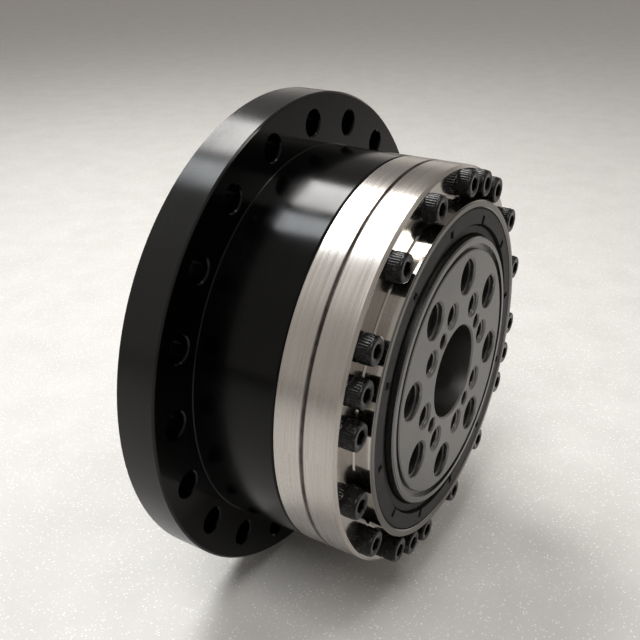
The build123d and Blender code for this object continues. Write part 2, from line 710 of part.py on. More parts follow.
def main():
    os.makedirs("parts", exist_ok=True)
    half_pitch = 180.0 / LONG_SCREWS
    groove_middle = SPLINE_RING_GROOVE_Z + SPLINE_RING_GROOVE_W / 2
    o_ring_r = CAVITY_R - SPIGOT_CLEAR - SPLINE_RING_GROOVE_D / 2
    face_ring_r = sum(FACE_RING_GROOVE_R) / 2
    face_ring_z = SPLINE_FRONT + FACE_RING_GROOVE_D / 2
    track = ball_track()
    save("adapter_housing", adapter_housing())
    save("circular_spline", circular_spline())
    save("spline_o_ring", torus(o_ring_r, O_RING_WIRE_R, groove_middle))
    save("bearing_outer_ring", bearing_outer_ring())
    save("bearing_o_ring", torus(face_ring_r, FACE_RING_WIRE_R, face_ring_z))
    save("roller_fill_plug", roller_fill_plug())
    save("fill_plug_pin", plug_pin())
    save("crossed_rollers_a", crossed_rollers(45, 0))
    save("crossed_rollers_b", crossed_rollers(-45, 180.0 / ROLLERS_EACH_WAY))
    save("roller_spacers", roller_spacers())
    save("bearing_inner_ring", bearing_inner_ring())
    save("output_plate", output_plate())
    save("output_seal", output_seal())
    save("seal_spring", torus(SEAL_SPRING_R, SEAL_SPRING_WIRE_R, SEAL_SPRING_Z))
    save("housing_screws", screw_row(LONG_SCREWS, SCREW_PCR, CLOCK + half_pitch, LONG_SCREW_L))
    save("assembly_screws", screw_row(SHORT_SCREWS, SCREW_PCR, CLOCK, SHORT_SCREW_L))
    save("flexspline", flexspline())
    save("clamp_ring", clamp_ring())
    save("flexspline_screws", flexspline_screws())
    save("dowel_pins", dowel_pins())
    save("wave_plug", wave_plug())
    save("wave_inner_race", oval_tube(*reversed(INNER_RACE_R), *WAVE_BEARING_Z) - track)
    save("wave_outer_race", oval_tube(*reversed(OUTER_RACE_R), *WAVE_BEARING_Z) - track)
    save("wave_balls", [place * Sphere(BALL_R) for place in ball_places()])
    save("wave_cage", wave_cage())
    save("oldham_insert", oldham_insert())
    save("oldham_hub", oldham_hub())
    save("hub_set_screws", hub_set_screws())
    save("thrust_washer", tube(*reversed(WASHER_R), *WASHER_Z))
    save("retaining_ring", retaining_ring())


main()
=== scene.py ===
import json
import math
import random

import bmesh
import bpy
from mathutils import Matrix, Vector


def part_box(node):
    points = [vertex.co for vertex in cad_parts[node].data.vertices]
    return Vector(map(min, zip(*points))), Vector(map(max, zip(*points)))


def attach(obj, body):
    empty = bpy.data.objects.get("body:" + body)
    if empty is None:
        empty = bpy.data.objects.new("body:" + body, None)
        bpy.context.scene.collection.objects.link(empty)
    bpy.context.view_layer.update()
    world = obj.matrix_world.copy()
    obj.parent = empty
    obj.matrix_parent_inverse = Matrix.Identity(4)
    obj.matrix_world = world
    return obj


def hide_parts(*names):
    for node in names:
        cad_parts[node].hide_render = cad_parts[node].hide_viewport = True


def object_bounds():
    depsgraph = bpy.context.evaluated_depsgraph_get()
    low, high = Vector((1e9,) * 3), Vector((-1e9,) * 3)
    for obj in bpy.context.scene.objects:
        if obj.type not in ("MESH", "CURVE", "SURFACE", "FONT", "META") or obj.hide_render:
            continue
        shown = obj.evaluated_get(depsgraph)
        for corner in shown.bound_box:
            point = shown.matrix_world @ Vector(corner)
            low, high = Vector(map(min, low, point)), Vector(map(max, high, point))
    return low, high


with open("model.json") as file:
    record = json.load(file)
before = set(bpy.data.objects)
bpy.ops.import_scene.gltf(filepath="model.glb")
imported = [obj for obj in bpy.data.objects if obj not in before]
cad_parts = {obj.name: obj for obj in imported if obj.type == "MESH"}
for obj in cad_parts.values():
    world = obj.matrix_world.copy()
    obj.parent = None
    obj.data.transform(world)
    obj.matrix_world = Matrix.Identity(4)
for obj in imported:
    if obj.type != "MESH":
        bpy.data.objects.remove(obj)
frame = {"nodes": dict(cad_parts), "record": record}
cad_low, cad_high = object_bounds()

MM = 0.001
TURN = 2 * math.pi
WELD_DISTANCE = 0.0002 * MM
FLAT_TOLERANCE = 0.001 * MM
CHANCE = random.Random(11)

# The gear's axis is Y and the output faces -Y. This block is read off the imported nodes.
record = frame["record"]
mounts = {mount["name"]: mount for mount in record["mounts"]}
HOUSING_LOW, HOUSING_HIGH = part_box("adapter_housing")
SPLINE_LOW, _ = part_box("circular_spline")
RING_LOW, RING_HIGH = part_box("bearing_outer_ring")
PLATE_LOW, PLATE_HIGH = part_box("output_plate")
FLANGE_R = HOUSING_HIGH.x
BODY_R = RING_HIGH.x
BODY_FRONT_Y = HOUSING_LOW.y
RING_GROOVE_Y = SPLINE_LOW.y
FLANGE_FRONT_Y = mounts["flange_front"]["pos_m"][1]
PLATE_FACE_Y = PLATE_LOW.y
PLATE_BACK_Y = PLATE_HIGH.y
PLATE_R = PLATE_HIGH.x
BORE_R = mounts["output_bore"]["dims"]["r_mm"] * MM

# M3 cap screws, knurled, with rounded rims
HEAD_R = 2.75 * MM
HEAD_H = 3.0 * MM
HEAD_FOOT_R = 2.6 * MM
RIM_R = 2.68 * MM
RIM_ROUND = 0.34 * MM
KNURL_DEPTH = 0.14 * MM
KNURL_SPAN = (0.32 * MM, 2.28 * MM)
KNURL_RIDGES = 36
RIM_STEPS = 4
SOCKET_HALF = 1.25 * MM
SOCKET_LEAD_R = 1.52 * MM
SOCKET_D = 1.6 * MM
SOCKET_TIP = 0.25 * MM
SOCKET_LEAD_SLOPE = 0.6
SHANK_R = 1.45 * MM
SHANK_TIP = 0.3 * MM
WORN = 1  # the head's front, among the materials of a screw's mesh; the rest is 0

# output plate: its rims, and the M8 and M5 threads as (mouth edge, major radius, pitch, length);
# a thread has so many steps to a pitch, and its lead-in is in pitches; the points go round a circle
PLATE_NECK_R = 26.1 * MM
PLATE_STEP_Y = PLATE_FACE_Y + 0.95 * MM
PLATE_EDGE = 0.2 * MM
BORE_EDGE = 0.35 * MM
M8_THREAD = (0.65 * MM, 4.0 * MM, 1.25 * MM, 7.0 * MM)
M5_THREAD = (0.8 * MM, 2.5 * MM, 0.8 * MM, 5.0 * MM)
M5_MINOR_R = 2.1 * MM
DOWEL_EDGE = 0.3 * MM
OWN_DOWEL_R = 1.75 * MM
OWN_DOWEL_DEPTH = 4.7 * MM
THREAD_STEPS = 8
THREAD_LEAD_IN = 0.3
PLATE_POINTS = 240
BORE_POINTS = 120
M8_POINTS = 56
M5_POINTS = 40
DOWEL_POINTS = 32
FACED, TAPPED, BORED = range(3)  # the materials of the plate's mesh, in order

# camera, fitted to the circles of the object; its place is in ring radii along its own directions,
# from the middle of the housing's front
LENS = 46.3
SENSOR = 36.0
VIEW_RIGHT = Vector((0.5188, -0.8549, 0.0))
VIEW_UP = Vector((0.3797, 0.2304, 0.8959))
VIEW_BACK = Vector((-0.7659, -0.4648, 0.4442))
VIEW_PLACE = (-0.3146, 0.1595, 4.2544)

# the overhead windows, as the highlights on the housing, the rings and the hub place them: the
# angles seen along the gear's axis, the place and length along it, watts per square metre, colour
WINDOW_HEIGHT = 0.45
WINDOW_PANES = {
    "window_far": ((60.0, 81.0), 0.235, 0.21, 42.0, (1.0, 0.99, 0.97)),
    "window_near": ((86.5, 99.0), 0.235, 0.21, 32.0, (0.93, 0.97, 1.0)),
    "window_front": ((66.0, 86.0), -0.235, 0.105, 26.0, (1.0, 0.98, 0.93)),
}
CEILING_PLACE = (-0.30, -0.07, 0.5)
CEILING_TARGET = (-0.20, -0.07, 0.0)
CEILING_SIZE = (0.18, 0.30)
CEILING_WATTS = 1.6

# the room: its colour, its strength from -X to +X, and what the pale wall beyond the table adds
# between two values of a direction's X and below two values of its Z
ROOM_COLOR = (1.0, 0.955, 0.90, 1.0)
ROOM_NEAR = 0.50
ROOM_FAR = 0.26
FAR_WALL = 0.45
FAR_WALL_X = (0.3, 0.8)
FAR_WALL_Z = (0.15, 0.35)
TABLE_REACH = 400 * FLANGE_R

# the picture's tone: a little more contrast than plain sRGB, as a phone camera gives
EXPOSURE = 0.24
GAMMA = 0.86


# ---------------------------------------------------------------- shader helpers

def set_range(node, low, high, out_low, out_high):
    """Set what a Map Range node maps, and what it maps it to."""
    names = ("From Min", "From Max", "To Min", "To Max")
    for name, number in zip(names, (low, high, out_low, out_high)):
        node.inputs[name].default_value = number


class Shader:
    """A material's node graph, with short calls for what the materials below share."""

    def __init__(self, name):
        self.material = bpy.data.materials.new(name)
        self.material.use_nodes = True
        self.nodes = self.material.node_tree.nodes
        self.links = self.material.node_tree.links
        self.nodes.clear()
        self.surface = self.nodes.new("ShaderNodeBsdfPrincipled")
        output = self.nodes.new("ShaderNodeOutputMaterial")
        self.links.new(self.surface.outputs[0], output.inputs["Surface"])
        self.place = self.nodes.new("ShaderNodeTexCoord").outputs["Object"]

    def put(self, value, socket):
        """Link a socket to this one, or set a constant on it."""
        if isinstance(value, bpy.types.NodeSocket):
            self.links.new(value, socket)
        elif value is not None:
            socket.default_value = value

    def math(self, operation, first, second=None, third=None):
        node = self.nodes.new("ShaderNodeMath")
        node.operation = operation
        for value, socket in zip((first, second, third), node.inputs):
            self.put(value, socket)
        return node.outputs[0]

    def combine(self, x, y, z):
        node = self.nodes.new("ShaderNodeCombineXYZ")
        for value, socket in zip((x, y, z), node.inputs):
            self.put(value, socket)
        return node.outputs[0]

    def polar(self):
        """Radius from the gear's axis, angle round it, and place along it."""
        parts = self.nodes.new("ShaderNodeSeparateXYZ")
        self.links.new(self.place, parts.inputs[0])
        x, y, z = parts.outputs
        squares = self.math("MULTIPLY_ADD", z, z, self.math("MULTIPLY", x, x))
        return self.math("SQRT", squares), self.math("ARCTAN2", z, x), y

    def noise(self, vector, scale, detail=3.0, roughness=0.55):
        node = self.nodes.new("ShaderNodeTexNoise")
        self.put(vector, node.inputs["Vector"])
        node.inputs["Scale"].default_value = scale
        node.inputs["Detail"].default_value = detail
        node.inputs["Roughness"].default_value = roughness
        return node.outputs["Fac"]

    def ramp(self, value, low, high, out_low=0.0, out_high=1.0):
        node = self.nodes.new("ShaderNodeMapRange")
        self.put(value, node.inputs["Value"])
        set_range(node, low, high, out_low, out_high)
        return node.outputs["Result"]

    def blend(self, factor, first, second):
        node = self.nodes.new("ShaderNodeMix")
        node.data_type = "RGBA"
        self.put(factor, node.inputs["Factor"])
        self.put(first, node.inputs["A"])
        self.put(second, node.inputs["B"])
        return node.outputs["Result"]

    def bump(self, height, distance, strength=1.0, normal=None):
        node = self.nodes.new("ShaderNodeBump")
        node.inputs["Strength"].default_value = strength
        node.inputs["Distance"].default_value = distance
        self.put(height, node.inputs["Height"])
        self.put(normal, node.inputs["Normal"])
        return node.outputs[0]

    def near_circle(self, radius, along, width):
        """1 on a circle about the axis, falling to 0 at the given distance from it."""
        r, _, y = self.polar()
        across = self.math("SUBTRACT", r, radius)
        deep = self.math("SUBTRACT", y, along)
        squares = self.math("MULTIPLY_ADD", deep, deep, self.math("MULTIPLY", across, across))
        return self.ramp(self.math("SQRT", squares), 0.0, width, 1.0, 0.0)

    def lathe_lines(self, per_metre, drift=2.0, detail=4.0):
        """Fine lines that run round the axis, as turning and grinding leave them."""
        r, angle, y = self.polar()
        vector = self.combine(
            self.math("MULTIPLY", r, per_metre),
            self.math("MULTIPLY", y, per_metre),
            self.math("MULTIPLY", angle, drift))
        return self.noise(vector, 1.0, detail, 0.65)

    def set(self, **values):
        """Fill the surface's inputs, with _ for the spaces in their names."""
        for name, value in values.items():
            self.put(value, self.surface.inputs[name.replace("_", " ")])
        return self.material

    def turned_tangent(self):
        """Highlights stretch across the lathe lines, which run round the axis."""
        node = self.nodes.new("ShaderNodeTangent")
        node.direction_type = "RADIAL"
        node.axis = "Y"
        self.links.new(node.outputs[0], self.surface.inputs["Tangent"])
        self.surface.inputs["Anisotropic Rotation"].default_value = 0.25


def grey(level, warm=0.0):
    return (level * (1 + warm), level, level * (1 - warm), 1.0)


# ---------------------------------------------------------------- materials

def black_anodised():
    """Glossy on the body and the flange's front, satin on its rim, chipped on the edge between."""
    s = Shader("black_anodised")
    r, _, y = s.polar()
    lines = s.lathe_lines(3200.0)
    smear = s.noise(s.place, 90.0, 4.0)
    dust = s.noise(s.place, 5200.0, 2.0)
    rim = s.ramp(r, FLANGE_R - 0.5 * MM, FLANGE_R - 0.1 * MM)
    rough = s.ramp(smear, 0.35, 0.7, 0.15, 0.21)
    rough = s.math("ADD", rough, s.ramp(lines, 0.3, 0.7, -0.02, 0.03))
    rough = s.math("MULTIPLY_ADD", rim, 0.07, rough)
    off_face = s.math("ABSOLUTE", s.math("SUBTRACT", y, FLANGE_FRONT_Y))
    face = s.ramp(off_face, 0.1 * MM, 0.2 * MM, 1.0, 0.0)
    rough = s.math("MULTIPLY_ADD", face, -0.08, rough)
    chips = s.noise(s.place, 700.0, 5.0, 0.7)
    edge = s.near_circle(FLANGE_R - 0.25 * MM, FLANGE_FRONT_Y, 0.45 * MM)
    wear = s.math("MULTIPLY", s.ramp(edge, 0.3, 0.9), s.ramp(chips, 0.66, 0.72))
    color = s.blend(rim, grey(0.0006), grey(0.014))
    color = s.blend(s.ramp(dust, 0.7, 0.82, 0.0, 0.2), color, grey(0.03))
    color = s.blend(s.math("MULTIPLY", wear, 0.7), color, grey(0.2, 0.03))
    s.turned_tangent()
    return s.set(Base_Color=color, Roughness=rough, Normal=s.bump(lines, 0.002 * MM, 0.4),
                 Specular_IOR_Level=0.3, Anisotropic=0.7)


def ground_ring(name, level, warm):
    """Ground outside, polished inside, darker in front, with old grime in the joint beside it and
    painted shade along the seam with the housing.
    """
    s = Shader(name)
    r, _, y = s.polar()
    fine = s.lathe_lines(9000.0, 1.2)
    coarse = s.lathe_lines(1500.0, 0.8, 3.0)
    cloud = s.noise(s.place, 60.0, 4.0)
    joint = s.near_circle(BODY_R, RING_GROOVE_Y, 0.75 * MM)
    # painted shade: a band along the seam where the housing meets the ring
    seam_shade = s.near_circle(BODY_R, BODY_FRONT_Y, 0.5 * MM)
    patch = s.ramp(s.noise(s.place, 260.0, 5.0, 0.65), 0.4, 0.65, 0.8, 1.0)
    color = s.blend(s.ramp(fine, 0.35, 0.65), grey(level * 0.86, warm), grey(level * 1.08, warm))
    color = s.blend(s.ramp(cloud, 0.3, 0.75, 0.0, 0.3), color, grey(level * 0.8, warm * 2.0))
    grime = s.math("MULTIPLY", s.ramp(joint, 0.2, 0.7), patch)
    color = s.blend(grime, color, (0.022, 0.011, 0.006, 1.0))
    # painted shade: the seam with the housing darkened to near black
    color = s.blend(s.ramp(seam_shade, 0.2, 0.6), color, grey(0.01))
    ground = s.ramp(r, BODY_R - 1.0 * MM, BODY_R - 0.5 * MM)
    rough = s.ramp(coarse, 0.3, 0.7, 0.25, 0.31)
    rough = s.math("ADD", rough, s.ramp(fine, 0.3, 0.7, -0.015, 0.02))
    rough = s.blend(ground, s.ramp(fine, 0.3, 0.7, 0.10, 0.15), rough)
    front = s.ramp(y, RING_LOW.y + 0.1 * MM, RING_LOW.y + 0.4 * MM, 1.0, 0.0)
    color = s.blend(front, color, grey(level * 0.33, warm))
    rough = s.math("MULTIPLY_ADD", front, 0.12, rough)
    height = s.math("MULTIPLY", fine, s.ramp(ground, 0.0, 1.0, 0.02, 1.0))
    normal = s.bump(height, 0.003 * MM, 0.35)
    s.turned_tangent()
    return s.set(Base_Color=color, Metallic=1.0, Roughness=rough, Normal=normal, Anisotropic=0.5)


def polished_land():
    """The bright turned ring between the seal and the plate."""
    s = Shader("polished_land")
    fine = s.lathe_lines(12000.0, 4.0)
    rough = s.ramp(fine, 0.3, 0.7, 0.22, 0.32)
    color = s.blend(s.ramp(fine, 0.35, 0.65), grey(0.18, 0.015), grey(0.225, 0.015))
    normal = s.bump(fine, 0.003 * MM, 0.4)
    s.turned_tangent()
    return s.set(Base_Color=color, Metallic=1.0, Roughness=rough, Normal=normal, Anisotropic=0.4)


def satin_plate():
    """The output plate's matt grey faces, lightly turned and grained."""
    s = Shader("satin_plate")
    fine = s.lathe_lines(7000.0, 3.0)
    grain = s.noise(s.place, 3800.0, 3.0)
    cloud = s.noise(s.place, 75.0, 4.0)
    color = s.blend(s.ramp(fine, 0.35, 0.65), grey(0.205, 0.015), grey(0.25, 0.015))
    color = s.blend(s.ramp(cloud, 0.35, 0.7, 0.0, 0.35), color, grey(0.185, 0.015))
    rough = s.ramp(grain, 0.3, 0.7, 0.32, 0.44)
    rough = s.math("ADD", rough, s.ramp(fine, 0.3, 0.7, -0.03, 0.03))
    normal = s.bump(fine, 0.004 * MM, 0.4, s.bump(grain, 0.003 * MM, 0.3))
    s.turned_tangent()
    return s.set(Base_Color=color, Metallic=1.0, Roughness=rough, Normal=normal, Anisotropic=0.3)


def black_oxide():
    """An oiled black screw, thinly worn in patches."""
    s = Shader("black_oxide_screw")
    grain = s.noise(s.place, 4200.0, 4.0)
    oil = s.noise(s.place, 420.0, 3.0)
    rough = s.ramp(oil, 0.3, 0.7, 0.2, 0.32)
    rough = s.math("ADD", rough, s.ramp(grain, 0.3, 0.7, -0.03, 0.05))
    worn = s.noise(s.place, 1300.0, 4.0, 0.6)
    color = s.blend(s.ramp(grain, 0.4, 0.7), grey(0.006), grey(0.016, 0.03))
    color = s.blend(s.ramp(worn, 0.55, 0.68), color, grey(0.05, 0.02))
    return s.set(Base_Color=color, Metallic=0.45, Specular_IOR_Level=0.3, Coat_Weight=0.15,
                 Coat_Roughness=0.16, Roughness=rough, Normal=s.bump(grain, 0.01 * MM, 0.4))


def screw_rim():
    """The front of a cap screw's head, where keys and hands have rubbed the oxide thin."""
    s = Shader("worn_screw_face")
    grain = s.noise(s.place, 5200.0, 4.0)
    rub = s.noise(s.place, 900.0, 4.0)
    color = s.blend(s.ramp(rub, 0.35, 0.7), grey(0.10, 0.01), grey(0.24, 0.02))
    return s.set(Base_Color=color, Metallic=0.9, Roughness=s.ramp(grain, 0.3, 0.7, 0.28, 0.42),
                 Normal=s.bump(grain, 0.01 * MM, 0.4))


def rubber(name, level):
    """Moulded rubber with a faint bloom."""
    s = Shader(name)
    grain = s.noise(s.place, 6000.0, 3.0)
    mould = s.lathe_lines(1100.0, 1.0, 2.0)
    bloom = s.noise(s.place, 240.0, 4.0)
    color = s.blend(s.ramp(bloom, 0.35, 0.75), grey(level * 0.85), grey(level * 1.35, 0.02))
    rough = s.ramp(grain, 0.3, 0.7, 0.42, 0.58)
    normal = s.bump(grain, 0.008 * MM, 0.4, s.bump(mould, 0.008 * MM, 0.3))
    return s.set(Base_Color=color, Roughness=rough, Normal=normal, Specular_IOR_Level=0.28)


def machined_steel(name, level, low=0.28, high=0.42):
    """Turned steel; low and high are the ends of its roughness."""
    s = Shader(name)
    fine = s.lathe_lines(6000.0, 3.0)
    cloud = s.noise(s.place, 150.0, 4.0)
    color = s.blend(s.ramp(fine, 0.35, 0.65), grey(level * 0.85, 0.015), grey(level * 1.1, 0.015))
    color = s.blend(s.ramp(cloud, 0.35, 0.75, 0.0, 0.3), color, grey(level * 0.7, 0.04))
    return s.set(Base_Color=color, Metallic=1.0, Roughness=s.ramp(fine, 0.3, 0.7, low, high),
                 Normal=s.bump(fine, 0.006 * MM, 0.4))


def polished_balls():
    """Bearing balls, all but mirrors."""
    s = Shader("polished_balls")
    haze = s.noise(s.place, 1500.0, 4.0)
    color = s.blend(haze, grey(0.66), grey(0.76))
    return s.set(Base_Color=color, Metallic=1.0, Roughness=s.ramp(haze, 0.3, 0.7, 0.06, 0.14))


def moulded_cage():
    """A brown plastic ball cage."""
    s = Shader("moulded_cage")
    grain = s.noise(s.place, 2600.0, 3.0)
    flow = s.noise(s.place, 180.0, 3.0)
    color = s.blend(flow, (0.30, 0.21, 0.10, 1.0), (0.42, 0.31, 0.16, 1.0))
    return s.set(Base_Color=color, Roughness=s.ramp(grain, 0.3, 0.7, 0.4, 0.55),
                 Normal=s.bump(grain, 0.02 * MM, 0.3))


def sparkling_table():
    """A pale laminate with small pearly flakes in it."""
    s = Shader("pale_table")
    flakes = s.nodes.new("ShaderNodeTexVoronoi")
    s.links.new(s.place, flakes.inputs["Vector"])
    flakes.inputs["Scale"].default_value = 1800.0
    chance = s.nodes.new("ShaderNodeSeparateColor")
    s.links.new(flakes.outputs["Color"], chance.inputs[0])
    pick = s.ramp(chance.outputs[0], 0.72, 0.98)
    spot = s.math("MULTIPLY", pick, s.ramp(flakes.outputs["Distance"], 0.2, 0.5, 1.0, 0.0))
    cloud = s.noise(s.place, 60.0, 3.0)
    darker, lighter = (0.54, 0.531, 0.518, 1.0), (0.58, 0.57, 0.557, 1.0)
    color = s.blend(s.ramp(cloud, 0.3, 0.7), darker, lighter)
    color = s.blend(spot, color, (0.86, 0.85, 0.84, 1.0))
    return s.set(Base_Color=color, Roughness=s.ramp(spot, 0.2, 0.9, 0.6, 0.35),
                 Normal=s.bump(spot, 0.15 * MM, 0.5))


def assign(obj, *materials):
    obj.data.materials.clear()
    for material in materials:
        obj.data.materials.append(material)


# ---------------------------------------------------------------- mesh helpers

def mesh_object(name, bm):
    bmesh.ops.recalc_face_normals(bm, faces=bm.faces)
    mesh = bpy.data.meshes.new(name)
    bm.to_mesh(mesh)
    bm.free()
    obj = bpy.data.objects.new(name, mesh)
    bpy.context.scene.collection.objects.link(obj)
    return obj


def smooth_by_angle(obj, degrees):
    """Smooth shading, with sharp edges wherever the faces turn by more than the angle."""
    obj.data.polygons.foreach_set("use_smooth", [True] * len(obj.data.polygons))
    obj.data.set_sharp_from_angle(angle=math.radians(degrees))


def polar_point(radius, angle, along):
    return Vector((radius * math.cos(angle), along, radius * math.sin(angle)))


def circle(centre, radius, depth, count, turn=0.0):
    """Points round an axis parallel to the gear's; depth is how far they lie behind the centre.

    The radius and the depth are numbers, or functions of the angle.
    """
    points = []
    for i in range(count):
        angle = TURN * i / count
        r = radius(angle) if callable(radius) else radius
        d = depth(angle) if callable(depth) else depth
        points.append(centre + polar_point(r, angle + turn, d))
    return points


def skin(bm, rings, material=0):
    """Quads between rings of points, each ring with as many points as the one before."""
    made = [[bm.verts.new(point) for point in ring] for ring in rings]
    for near, far in zip(made, made[1:]):
        for i in range(len(near)):
            j = (i + 1) % len(near)
            bm.faces.new((near[i], near[j], far[j], far[i])).material_index = material


def cap(bm, ring, tip):
    """A fan from a ring to its tip."""
    made = [bm.verts.new(point) for point in ring]
    point = bm.verts.new(tip)
    for i in range(len(made)):
        bm.faces.new((made[i], made[(i + 1) % len(made)], point))


def weld(bm):
    bmesh.ops.remove_doubles(bm, verts=bm.verts, dist=WELD_DISTANCE)


def centres(node):
    """Where the separate solids of a CAD node stand, seen along the gear's axis."""
    bm = bmesh.new()
    bm.from_mesh(frame["nodes"][node].data)
    weld(bm)
    found = []
    waiting = set(bm.verts)
    while waiting:
        front = [waiting.pop()]
        solid = []
        while front:
            vert = front.pop()
            solid.append(vert.co.copy())
            for edge in vert.link_edges:
                other = edge.other_vert(vert)
                if other in waiting:
                    waiting.remove(other)
                    front.append(other)
        low_x, high_x = min(v.x for v in solid), max(v.x for v in solid)
        low_z, high_z = min(v.z for v in solid), max(v.z for v in solid)
        found.append(Vector(((low_x + high_x) / 2, 0, (low_z + high_z) / 2)))
    bm.free()
    return sorted(found, key=lambda place: math.atan2(place.z, place.x))


# ---------------------------------------------------------------- the CAD nodes' finishes

BLACK = black_anodised()
SPLINE_STEEL = ground_ring("spline_ring_steel", 0.52, 0.045)
RING_STEEL = ground_ring("bearing_ring_steel", 0.50, 0.05)
LAND_STEEL = polished_land()
PLATE_STEEL = satin_plate()
SCREW_BLACK = black_oxide()
SCREW_RIM = screw_rim()
SEAL_RUBBER = rubber("seal_rubber", 0.027)
O_RING_RUBBER = rubber("o_ring_rubber", 0.025)
MACHINED = machined_steel("machined_steel", 0.55)
TAPPED_STEEL = machined_steel("tapped_steel", 0.26, 0.08, 0.16)
BORED_STEEL = machined_steel("bored_steel", 0.42, 0.16, 0.26)
SPRING = machined_steel("spring_steel", 0.22)
BALLS = polished_balls()
CAGE = moulded_cage()

# by the record's material slots
FINISHES = {
    "black_oxide": BLACK,
    "ground_steel": RING_STEEL,
    "polished_steel": LAND_STEEL,
    "plate_steel": PLATE_STEEL,
    "screw_black": SCREW_BLACK,
    "seal_rubber": SEAL_RUBBER,
    "o_ring_rubber": O_RING_RUBBER,
    "hidden_steel": MACHINED,
    "ball_steel": BALLS,
    "cage_plastic": CAGE,
    "spring_steel": SPRING,
}
for subpart in record["subparts"]:
    assign(frame["nodes"][subpart["node"]], FINISHES[subpart["material_slot"]])
assign(frame["nodes"]["circular_spline"], SPLINE_STEEL)


# ---------------------------------------------------------------- cap screws

def hexagon(angle):
    """Distance from a socket's middle to its flat, in the direction of the angle."""
    sixth = TURN / 6
    return SOCKET_HALF / math.cos((angle + sixth / 2) % sixth - sixth / 2)


def cap_screw(bm, seat, length, turn):
    """One socket-head screw: plain shank, knurled head, rounded rim, hexagonal socket."""
    count = 2 * KNURL_RIDGES

    def ring(radius, height):
        return circle(seat, radius, -height, count, turn)

    def knurled(angle):
        return HEAD_R - KNURL_DEPTH * (round(angle / TURN * count) % 2)

    low, high = KNURL_SPAN
    body = [
        ring(SHANK_R - SHANK_TIP, -length),
        ring(SHANK_R, SHANK_TIP - length),
        ring(SHANK_R, 0),
        ring(HEAD_FOOT_R, 0),
        ring(HEAD_R - KNURL_DEPTH, 0.1 * low),
        ring(HEAD_R - KNURL_DEPTH, 0.6 * low),
        ring(knurled, low),
        ring(knurled, high),
        ring(RIM_R, high + 0.5 * low),
    ]
    face = []
    for step in range(RIM_STEPS + 1):
        angle = TURN / 4 * step / RIM_STEPS
        face.append(ring(RIM_R - RIM_ROUND * (1 - math.cos(angle)),
                         HEAD_H - RIM_ROUND * (1 - math.sin(angle))))
    face.append(ring(SOCKET_LEAD_R, HEAD_H))

    def lead(angle):
        return SOCKET_LEAD_SLOPE * (SOCKET_LEAD_R - hexagon(angle)) - HEAD_H

    mouth = circle(seat, hexagon, lead, count, turn)
    floor = ring(hexagon, HEAD_H - SOCKET_D)
    skin(bm, body + face[:1])
    skin(bm, face[:3])
    skin(bm, face[2:], WORN)
    skin(bm, [face[-1], mouth], WORN)
    skin(bm, [mouth, floor])
    cap(bm, floor, seat - Vector((0, HEAD_H - SOCKET_D - SOCKET_TIP, 0)))
    cap(bm, body[0], seat + Vector((0, length, 0)))


def cap_screws(name, node):
    """Detailed screws in place of a CAD node's plain ones, their sockets turned at random."""
    low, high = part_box(node)
    seat_y = low.y + HEAD_H
    bm = bmesh.new()
    for place in centres(node):
        cap_screw(bm, place + Vector((0, seat_y, 0)), high.y - seat_y, CHANCE.uniform(0, TURN))
    weld(bm)
    screws = mesh_object(name, bm)
    assign(screws, SCREW_BLACK, SCREW_RIM)
    smooth_by_angle(screws, 32)
    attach(screws, "housing")
    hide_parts(node)


# ---------------------------------------------------------------- output plate with its threads

def thread_depth(phase):
    """An inner thread's profile over one pitch, in quarters: 0 on its crest, 1 at its root."""
    if phase < 0.25:
        return 0.0
    if phase < 0.5:
        return (phase - 0.25) / 0.25
    if phase < 0.75:
        return 1.0
    return (1.0 - phase) / 0.25


def threaded_hole(bm, mouth, minor, thread, count):
    """A countersunk hole with a real helical thread, then plain down to the plate's back.

    The thread runs out over its last pitch. The countersink keeps the finish of the plate's face.
    """
    edge, major, pitch, length = thread
    levels = THREAD_STEPS * math.ceil(length / pitch + 1)
    grid = []
    for level in range(levels + 1):
        row = []
        for i in range(count):
            depth = (level / THREAD_STEPS + i / count - 1) * pitch
            depth = min(max(depth, 0.0), length)
            grown = min(1.0, depth / (THREAD_LEAD_IN * pitch), (length - depth) / pitch)
            radius = minor + (major - minor) * grown * thread_depth(level / THREAD_STEPS % 1)
            radius = max(radius, minor + edge - depth)
            angle = TURN * i / count
            row.append(bm.verts.new(mouth + polar_point(radius, angle, depth)))
        grid.append(row)
    for level in range(levels):
        for i in range(count):
            if i + 1 < count:
                right, right_next = grid[level][i + 1], grid[level + 1][i + 1]
            else:
                right = grid[min(level + THREAD_STEPS, levels)][0]
                right_next = grid[min(level + 1 + THREAD_STEPS, levels)][0]
            corners = [grid[level][i], right, right_next, grid[level + 1][i]]
            if len(set(corners)) > 2:
                inside = min(vert.co.y for vert in corners) - mouth.y > 0.8 * edge
                side = bm.faces.new(list(dict.fromkeys(corners)))
                side.material_index = TAPPED if inside else FACED
    back = PLATE_BACK_Y - PLATE_FACE_Y
    skin(bm, [circle(mouth, minor, length, count), circle(mouth, minor, back, count)], TAPPED)


def close_face(bm, along):
    """Fill the flat face that the open edges at this place along the axis bound."""
    rim = [edge for edge in bm.edges if edge.is_boundary
           and all(abs(vert.co.y - along) < FLAT_TOLERANCE for vert in edge.verts)]
    bmesh.ops.triangle_fill(bm, use_beauty=True, edges=rim, normal=(0, -1, 0))


